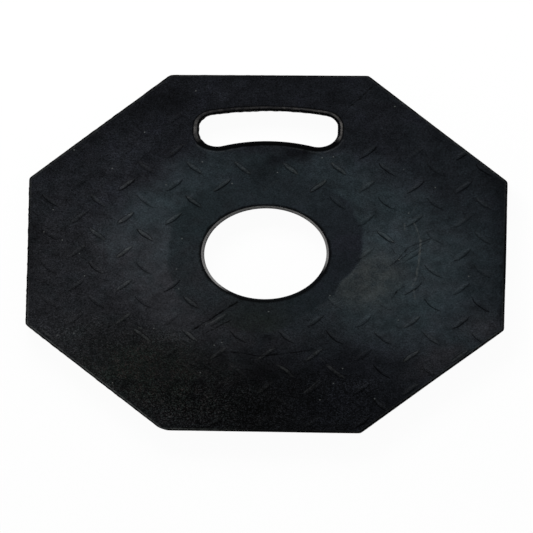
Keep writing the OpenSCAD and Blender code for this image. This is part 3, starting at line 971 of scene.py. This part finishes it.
class Paint:
    """Adds nodes to the tree of one material or world."""

    def __init__(self, tree):
        self.tree = tree
        tree.nodes.clear()

    def node(self, kind, settings, inputs, out=0):
        """Adds one node: its settings first, then values or links for its sockets; gives one of its outputs."""
        made = self.tree.nodes.new(kind)
        for name, value in settings.items():
            setattr(made, name, value)
        for key, value in inputs.items():
            if isinstance(value, Signal):
                self.tree.links.new(value.socket, made.inputs[key])
            else:
                made.inputs[key].default_value = value
        return Signal(self, made.outputs[out]) if made.outputs else None

    def mask(self, name):
        """A point attribute of the piece."""
        return self.node("ShaderNodeAttribute", {"attribute_name": name}, {}, "Fac")

    def noise(self, place, size, detail=2.0, rough=0.5):
        """Noise with lumps of about this size in metres, from 0 to 1."""
        inputs = {"Vector": place, "Scale": 0.5 / size, "Detail": detail, "Roughness": rough}
        return self.node("ShaderNodeTexNoise", {}, inputs)

    def mix(self, amount, a, b):
        """Colour a where amount is 0 and b where it is 1."""
        return self.node("ShaderNodeMix", {"data_type": "RGBA"}, {0: amount, 6: a, 7: b}, 2)

    def tint(self, colour, amount):
        """A colour made lighter or darker by a number."""
        settings = {"data_type": "RGBA", "blend_type": "MULTIPLY"}
        return self.node("ShaderNodeMix", settings, {0: 1.0, 6: colour, 7: amount}, 2)

    def vector(self, operation, *values, out="Vector"):
        """One Vector Math node with these values on its sockets; the number of a Scale has its own, the fourth."""
        sockets = (0, 3) if operation == "SCALE" else (0, 1)
        return self.node("ShaderNodeVectorMath", {"operation": operation}, dict(zip(sockets, values)), out)


def rgba(colour):
    """A colour property as a socket's four values."""
    return (*colour, 1.0)


class WornRubber(Paint):
    """Worn black rubber, laid on in layers: each method takes the colour below it and gives the colour with its own
    marks on top. Some of the marks are painted shade and painted highlights: on the bars' feet and crowns, along the
    upper edge and on the rims of the slot and the post hole."""

    def __init__(self, tree, finish, shape, tread):
        super().__init__(tree)
        self.finish, self.shape, self.tread = finish, shape, tread
        self.place = self.node("ShaderNodeTexCoord", {}, {}, "Object")
        self.clouds = self.noise(self.place, 0.016, 4.0, 0.6)
        self.mottle = self.noise(self.place, 0.0045, 4.0, 0.65)
        self.grain = self.noise(self.place, 0.0007, 3.0, 0.8)
        self.broken = self.noise(self.place, 0.0025, 2.0, 0.7).ramp(0.40, 0.60, 0.1, 1.0)
        self.ragged = (self.mottle - 0.5) * 1.6 * MM
        self.cells = self.crumb_cells("Distance")
        self.tone, self.crumbs, self.walls = (self.mask(name) for name in ("tone", "crumbs", "walls"))
        self.on_top = 1.0 - self.walls
        # What makes the rubber rougher, so that the walls, the dark lines and the creases mirror nothing
        self.dull = self.crumbs * 0.16 + self.walls * 0.5

    def material_output(self):
        """The layers from the skin up, over a fine grain."""
        drawn = self.wavy_place()
        colour = self.flecks(self.bars(self.skin(), drawn))
        colour = self.lines(drawn, PALE_LINES, self.broken.ramp(0.0, 1.0, 0.3, 0.85), colour, self.finish.chalk_and_highlight)
        colour = self.lines(drawn, DARK_LINES, self.broken.ramp(0.0, 1.0, 0.5, 1.0), colour, self.finish.shade)
        colour = self.bore_rim(self.slot_rim(self.outer_edge(colour)))
        fine = self.noise(self.place, 0.00035, 2.0, 0.6)
        relief = self.grain * (0.25 + self.crumbs * 0.9) + fine * 0.30 + self.cells * (0.12 + self.crumbs * 0.5)
        heights = {"Strength": 1.0, "Distance": self.finish.grain_depth, "Height": relief}
        roughness = self.finish.roughness + (self.mottle - 0.5) * 0.16 + self.dull
        shader = self.node("ShaderNodeBsdfPrincipled", {}, {
            "Base Color": colour, "Roughness": roughness.clip(), "Specular IOR Level": self.finish.gloss,
            "Normal": self.node("ShaderNodeBump", {}, heights, "Normal")})
        self.node("ShaderNodeOutputMaterial", {}, {"Surface": shader})

    def cover(self, amount, below, colour):
        """A colour of the finish laid over the colour below as thickly as amount says, from 0 to 1."""
        return self.mix(amount.clip(), below, rgba(colour))

    def crumb_cells(self, out):
        """Cells of about a millimetre, one for each crumb: the distance from its middle or its random colour."""
        return self.node("ShaderNodeTexVoronoi", {}, {"Vector": self.place, "Scale": 1000.0, "Randomness": 1.0}, out)

    def wavy_place(self):
        """The place moved about by up to a millimetre, so that what is drawn on it gets uneven edges."""
        waves = self.node("ShaderNodeTexNoise", {}, {"Vector": self.place, "Scale": 110.0, "Detail": 2.0}, "Color")
        moved = self.vector("SCALE", self.vector("SUBTRACT", waves, (0.5, 0.5, 0.5)), 2.4 * MM)
        return self.vector("ADD", self.place, moved)

    def skin(self):
        """The plain skin: bluish or dusty, navy where it is clean, mossy or brown from crumb to crumb where it is
        dirty, ochre and a little chalky in the rubbed patch. Its tone, partly worn and partly a painted sheen, is that
        of the place times (1 + its clouds and mottling), (1 + its grain) and, where it is crumbly, a value of each
        crumb's own."""
        finish, clouds, mottle, crumbs = self.finish, self.clouds, self.mottle, self.crumbs
        cool, mossy, navy, collar, rubbed = (
            self.mask(name) for name in ("cool", "mossy", "navy", "collar", "rubbed"))
        cell_colour = self.crumb_cells("Color")
        cell_tone, cell_kind = (
            self.node("ShaderNodeSeparateColor", {}, {0: cell_colour}, channel) for channel in ("Red", "Green"))
        bluish = cool + self.noise(self.place, 0.0075, 2.0, 0.5) - 0.5
        colour = self.cover(bluish, rgba(finish.dusty), finish.cool)
        brown = (cell_kind + (mottle - 0.5) * 1.8).ramp(0.55, 0.80) * (1.0 - collar)
        dirt = self.cover(brown, rgba(finish.moss), finish.umber)
        colour = self.mix((mossy * (1.0 + (clouds - 0.5) * 4.0)).clip(), colour, dirt)
        colour = self.cover(navy * 0.75 + clouds.ramp(0.52, 0.66) * (0.06 + navy * 0.35), colour, finish.navy)
        colour = self.cover(rubbed * mottle.ramp(0.36, 0.56, 0.30, 0.62), colour, finish.ochre)

        uneven = (clouds - 0.5) * (1.1 + crumbs * 0.7 - collar * 0.4)
        uneven = uneven + (mottle - 0.5) * (1.3 + crumbs * 0.5 - collar * 0.5)
        grain_depth = 1.9 + (1.0 - self.tone) * (3.4 - cool * 2.0) + crumbs * 1.8 - collar * 0.4
        crumb = cell_tone.ramp(0.20, 1.0, 0.10, 2.6) * self.cells.ramp(0.80, 0.40, 0.3, 1.0)
        pale = (self.tone + 0.055 + crumbs * 0.03) * (1.0 + uneven)
        pale = pale * (1.0 + (self.grain - 0.5) * grain_depth) * (1.0 + crumbs * (crumb - 1.0))
        return self.cover(rubbed * mottle.ramp(0.46, 0.66) * 0.07, self.tint(colour, pale.most(0.005)), finish.chalk_and_highlight)

    def bars(self, colour, drawn):
        """Pale crowns, partly rubbed and partly a painted highlight, and painted shade along the feet of the bars, each
        bar by its own amounts.
        """
        crown_paleness = (self.broken * 0.8 + 0.2) * self.grain.ramp(0.30, 0.70, 0.50, 1.25) * (self.tone * 0.22 + 0.19)
        for name, start, lean, _ in BAR_GRIDS:
            lower, upper, crown = self.bar_marks(drawn, start, lean)
            # How pale this bar's crown is, partly rubbed and partly a painted highlight
            rubbed = self.mask(name + "_crowns")
            colour = self.cover(crown * rubbed * crown_paleness, colour, self.finish.chalk_and_highlight)
            # Painted shade: a dark line along the foot of each bar's lower flank, and a fainter one along its upper
            # flank
            bar_foot_shade = (lower * self.mask(name + "_feet") * 0.95).most(upper * rubbed * 0.65)
            colour = self.cover(bar_foot_shade, colour, self.finish.shade)
        return colour

    def bar_marks(self, place, start, lean):
        """Lines of painted shade along the foot of each bar's lower and upper flank and a band on its crown, partly
        rubbed and partly painted highlight, for one grid of bars: the place is wrapped to the nearest bar and turned
        along it, as in Moulding.bars, and each mark is a line beside the oval's edge b(u) = w/2·(1 − (2u/l)²)."""
        tread = self.tread
        x, y = (self.node("ShaderNodeSeparateXYZ", {}, {0: place}, axis) for axis in ("X", "Y"))
        dx = (x - start[0] * MM).wrap(tread.pitch_across / 2)
        dy = (y - start[1] * MM).wrap(tread.pitch_along / 2)
        u = (dx + dy * lean) * math.sqrt(0.5)
        v = (dy - dx * lean) * math.sqrt(0.5)
        taper = (1.0 - u * u / (tread.bar_length / 2) ** 2).clip()
        edge = taper * tread.bar_width / 2
        # Painted shade along the lower and the upper foot, and the band that carries the crown's paleness
        lower = (v + edge * 0.95).size().ramp(0.80 * MM, 0.32 * MM) * taper.ramp(0.02, 0.30)
        upper = (v - edge * 1.05).size().ramp(0.65 * MM, 0.22 * MM) * taper.ramp(0.05, 0.50)
        crown = (v - edge * 0.05).size().ramp(1.75 * MM, 0.45 * MM) * taper.ramp(0.10, 0.45)
        return lower, upper, crown

    def flecks(self, colour):
        """Pale flecks at the middles of one in forty of the cells of about a centimetre."""
        inputs = {"Vector": self.place, "Scale": 110.0, "Randomness": 1.0}
        near, owner = (
            self.node("ShaderNodeTexVoronoi", {"voronoi_dimensions": "2D"}, inputs, out)
            for out in ("Distance", "Position"))
        picked = self.node("ShaderNodeTexWhiteNoise", {}, {"Vector": owner}).ramp(0.974, 0.979)
        return self.cover(near.ramp(0.085, 0.045) * picked * self.on_top * 0.8, colour, self.finish.chalk_and_highlight)

    def lines(self, place, lines, broken, below, colour):
        """Scratches or creases over the colour below: for each its points, half width and strength."""
        drawn = None
        for points, width, strength in lines:
            for start, end in zip(points, points[1:]):
                one = self.line(place, start, end, width) * strength
                drawn = one if drawn is None else drawn.most(one)
        return self.cover(drawn * broken, below, colour)

    def line(self, place, start, end, width):
        """1 on a straight line from start to end, in millimetres, and 0 off it: the distance from each point to the
        nearest point of the line, against the line's width."""
        a, b = (Vector((*point, PLATE_TOP)) * MM for point in (start, end))
        run = b - a
        from_start = self.vector("SUBTRACT", place, a)
        share = self.vector("DOT_PRODUCT", from_start, run / run.length_squared, out="Value").clip()
        away = self.vector("DISTANCE", from_start, self.vector("SCALE", run, share), out="Value")
        return away.ramp(width * MM, 0.35 * width * MM)

    def outer_edge(self, colour):
        """A dark line of painted shade along the upper edge, a pale line of painted highlight inside it, and the chalky
        walls.
        """
        # worn here is the strength of the painted highlight along the edge
        inward, worn = self.mask("inward") * DISTANCE_KEPT * MM, self.mask("arris")
        dark_width = (1.40 - worn * 0.60) * MM
        # Painted shade: a dark line along the outermost edge, narrower where the highlight is strong
        dark = inward.ramp(dark_width + 0.5 * MM, dark_width) * self.on_top
        pale = inward.ramp(0.9 * MM, 1.3 * MM) * inward.ramp(2.7 * MM, 2.1 * MM) * worn * self.on_top
        # The painted highlight and the chalky walls are laid on in chalk
        dusty = pale * (self.broken * 0.7 + 0.3) * 0.60 + self.walls * self.mottle.ramp(0.3, 0.8, 0.08, 0.20)
        self.dull = self.dull + dark * 0.4
        return self.cover(dusty, self.cover(dark * 0.9, colour, self.finish.shade), self.finish.chalk_and_highlight)

    def slot_rim(self, colour):
        """The slot's rim, by the distance outside its walls: a dark inner line of painted shade, a band of painted
        highlight on the sides that face the light, a dark outline of painted shade, and a faint painted glint beyond it
        on the other side."""
        out, inner = self.mask("slot_out") * DISTANCE_KEPT * MM, self.mask("slot_inner") * INNER_LINE_KEPT * MM
        uneven, frayed = out + self.ragged, out + self.ragged * 0.5
        outline = out.ramp(3.9 * MM, 4.3 * MM) * uneven.ramp(5.9 * MM, 4.9 * MM) * 0.8
        shaded = uneven.ramp(5.6 * MM, 4.6 * MM) * self.mask("slot_shade")
        # Painted shade: the dark outline, the band on the post hole's side and the inner line over the walls
        dark = outline.most(shaded).most(frayed.ramp(inner + 0.3 * MM, inner - 0.3 * MM))
        # Painted highlight on the lit sides of the rim
        band = frayed.ramp(inner, inner + 0.6 * MM) * out.ramp(4.3 * MM, 3.8 * MM) * self.mask("slot_lit")
        band = band * self.broken.ramp(0.0, 1.0, 0.35, 1.0) * self.mottle.ramp(0.30, 0.60, 0.45, 1.0)
        glint = out.ramp(5.4 * MM, 6.0 * MM) * out.ramp(7.4 * MM, 6.4 * MM) * self.mask("slot_glint")
        self.dull = self.dull + dark * 0.5
        # A faint painted glint beyond the outline on the post hole's side
        colour = self.cover(glint * self.broken * 0.16, colour, self.finish.chalk_and_highlight)
        return self.cover(band, self.cover(dark * 0.95, colour, self.finish.shade), self.finish.slot_rim_highlight)

    def bore_rim(self, colour):
        """The post hole's rim, by the distance outside its lead-in: a dark ring of painted shade on the unlit side, and
        a painted highlight on the lead-in and the wall of the lit one."""
        flat = self.vector("MULTIPLY", self.place, (1.0, 1.0, 0.0))
        past_lead = self.vector("LENGTH", flat, out="Value") - (self.shape.post_hole / 2 + self.shape.lead_in)
        lit = self.mask("bore_lit")
        # Painted shade on the unlit side of the rim
        unlit = past_lead.ramp(-0.1 * MM, 0.3 * MM).most(1.0 - lit * 1.4)
        dark = unlit * (past_lead + self.ragged * 2.4).ramp(3.6 * MM, 1.3 * MM) * self.on_top
        # Painted highlight on the lit side's lead-in and wall
        pale = past_lead.ramp(0.3 * MM, -0.1 * MM) * lit * self.mottle.ramp(0.2, 0.7, 0.8, 1.0)
        self.dull = self.dull + dark * 0.4
        return self.cover(pale, self.cover(dark * 0.85, colour, self.finish.shade), self.finish.bore_rim_highlight)


def worn_rubber(finish, shape, tread):
    """The material of the moulding."""
    material = bpy.data.materials.new("worn_rubber")
    material.use_nodes = True
    material.diffuse_color = rgba(finish.dusty)
    WornRubber(material.node_tree, finish, shape, tread).material_output()
    return material


def seen_directly(paint):
    """1 for what the camera sees directly, in a mirror or through glass, and 0 for the light on other things."""
    camera, glossy, through = (
        paint.node("ShaderNodeLightPath", {}, {}, f"Is {kind} Ray") for kind in ("Camera", "Glossy", "Transmission"))
    return camera.most(glossy).most(through)


class BASE_OT_moulding(bpy.types.Operator):
    """Make the rubber moulding in place of the plain CAD solid"""

    bl_idname = "delineator_base.moulding"
    bl_label = "Rubber moulding"

    def execute(self, context):
        scene = context.scene
        moulding = Moulding(scene.base_shape, scene.base_tread)
        rubber = worn_rubber(scene.base_finish, scene.base_shape, scene.base_tread)
        piece = moulding.build().piece("moulded_base", moulding.masks, rubber)
        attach(piece, "root")
        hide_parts("rubber_base")
        return {"FINISHED"}


class BASE_OT_studio(bpy.types.Operator):
    """Make the floor, the light and the camera"""

    bl_idname = "delineator_base.studio"
    bl_label = "Studio"

    def execute(self, context):
        studio = context.scene.base_studio
        floor = self.floor(studio)
        self.surround(context.scene, studio)
        self.lamp("key_lamp", studio.key_place, studio.key_size, studio.key_power)
        context.scene.camera = self.camera(studio, floor)
        context.scene.view_settings.view_transform = "Standard"
        return {"FINISHED"}

    def floor(self, studio):
        """A flat pale floor that shows white, with the object's shadow kept faint."""
        half = studio.floor_size / 2
        mesh = bpy.data.meshes.new("floor")
        corners = np.array([(-half, -half, 0), (half, -half, 0), (half, half, 0), (-half, half, 0)])
        mesh.from_pydata(corners.tolist(), [], [(0, 1, 2, 3)])
        floor = bpy.data.objects.new("floor", mesh)
        bpy.context.scene.collection.objects.link(floor)
        material = bpy.data.materials.new("pale_floor")
        material.use_nodes = True
        paint = Paint(material.node_tree)
        matt = paint.node("ShaderNodeBsdfDiffuse", {}, {"Color": (0.9, 0.9, 0.9, 1.0)})
        white = paint.node("ShaderNodeEmission", {}, {"Color": (1.0, 1.0, 1.0, 1.0), "Strength": 1.0})
        both = paint.node("ShaderNodeMixShader", {}, {0: seen_directly(paint) * 0.96, 1: matt, 2: white})
        paint.node("ShaderNodeOutputMaterial", {}, {"Surface": both})
        mesh.materials.append(material)
        return floor

    def surround(self, scene, studio):
        """Soft light from all round, brighter behind the base and dim overhead, where the camera stands, so that
        the flat upper face mirrors little of it. The camera sees white."""
        world = bpy.data.worlds.new("surround")
        world.use_nodes = True
        scene.world = world
        paint = Paint(world.node_tree)
        way = paint.node("ShaderNodeTexCoord", {}, {}, "Generated")
        up, back = (paint.node("ShaderNodeSeparateXYZ", {}, {0: way}, axis) for axis in ("Z", "Y"))
        overhead = up.ramp(0.90, 0.60, 0.05, 1.0) * (back * 0.75 + 0.75)
        level = (overhead + (0.35 - overhead) * up.ramp(0.35, 0.15)) * studio.surround
        soft = paint.node("ShaderNodeBackground", {}, {"Color": (0.97, 0.985, 1.0, 1.0), "Strength": level})
        white = paint.node("ShaderNodeBackground", {}, {"Color": (1.0, 1.0, 1.0, 1.0), "Strength": 1.0})
        camera_ray = paint.node("ShaderNodeLightPath", {}, {}, "Is Camera Ray")
        both = paint.node("ShaderNodeMixShader", {}, {0: camera_ray, 1: soft, 2: white})
        paint.node("ShaderNodeOutputWorld", {}, {"Surface": both})

    def lamp(self, name, place, size, power):
        """A flat soft lamp aimed at the middle of the base."""
        data = bpy.data.lights.new(name, "AREA")
        data.shape = "RECTANGLE"
        data.size, data.size_y, data.energy = *size, power
        lamp = bpy.data.objects.new(name, data)
        lamp.location = place
        lamp.rotation_mode = "QUATERNION"
        lamp.rotation_quaternion = (-Vector(place)).to_track_quat("-Z", "Y")
        bpy.context.scene.collection.objects.link(lamp)

    def camera(self, studio, floor):
        """A far camera almost straight above. The picture was squashed in height, so the camera's own frame leans:
        its X axis is (cos a, 0, −sin a) with cos a = squash, which narrows the view along the picture's width."""
        data = bpy.data.cameras.new("camera")
        data.lens = studio.lens
        camera = bpy.data.objects.new("camera", data)
        bpy.context.scene.collection.objects.link(camera)
        lean = math.acos(studio.squash)
        distance = studio.half_view / (studio.squash * data.sensor_width / 2 / data.lens)
        front, side = studio.tilt
        turn = Matrix.Rotation(front, 4, "X") @ Matrix.Rotation(side, 4, "Y") @ Matrix.Rotation(studio.roll, 4, "Z")
        away = turn @ Vector((0.0, 0.0, distance))
        basis = Matrix.Translation(Vector(studio.aim) + away) @ turn
        leaned = Matrix((
            (math.cos(lean), math.sin(studio.skew), 0.0, 0.0),
            (0.0, math.cos(studio.skew), 0.0, 0.0),
            (-math.sin(lean), 0.0, 1.0, 0.0),
            (0.0, 0.0, 0.0, 1.0),
        ))
        camera.matrix_basis = basis
        camera.parent = floor
        camera.matrix_parent_inverse = basis @ leaned @ basis.inverted()
        data.clip_start, data.clip_end = 0.1 * distance, 2.0 * distance
        return camera


class BASE_PT_panel(bpy.types.Panel):
    """Sizes, finish and studio of the delineator base"""

    bl_label = "Delineator base"
    bl_idname = "BASE_PT_panel"
    bl_space_type = "VIEW_3D"
    bl_region_type = "UI"
    bl_category = "Delineator base"

    def draw(self, context):
        for group in GROUPS:
            box = self.layout.box()
            box.label(text=group.removeprefix("base_").capitalize())
            values = getattr(context.scene, group)
            for name in values.bl_rna.properties.keys():
                if name not in ("rna_type", "name"):
                    box.prop(values, name)
        self.layout.operator(BASE_OT_moulding.bl_idname)
        self.layout.operator(BASE_OT_studio.bl_idname)


GROUPS = {
    "base_shape": BASE_PG_shape,
    "base_tread": BASE_PG_tread,
    "base_finish": BASE_PG_finish,
    "base_studio": BASE_PG_studio,
}
CLASSES = (*GROUPS.values(), BASE_OT_moulding, BASE_OT_studio, BASE_PT_panel)


def register():
    for kind in CLASSES:
        bpy.utils.register_class(kind)
    for name, group in GROUPS.items():
        setattr(bpy.types.Scene, name, PointerProperty(type=group))


def unregister():
    for name in GROUPS:
        delattr(bpy.types.Scene, name)
    for kind in reversed(CLASSES):
        bpy.utils.unregister_class(kind)


def main():
    """Registers the add-on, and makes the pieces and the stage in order."""
    register()
    bpy.ops.delineator_base.moulding()
    bpy.ops.delineator_base.studio()


if __name__ == "__main__":
    main()
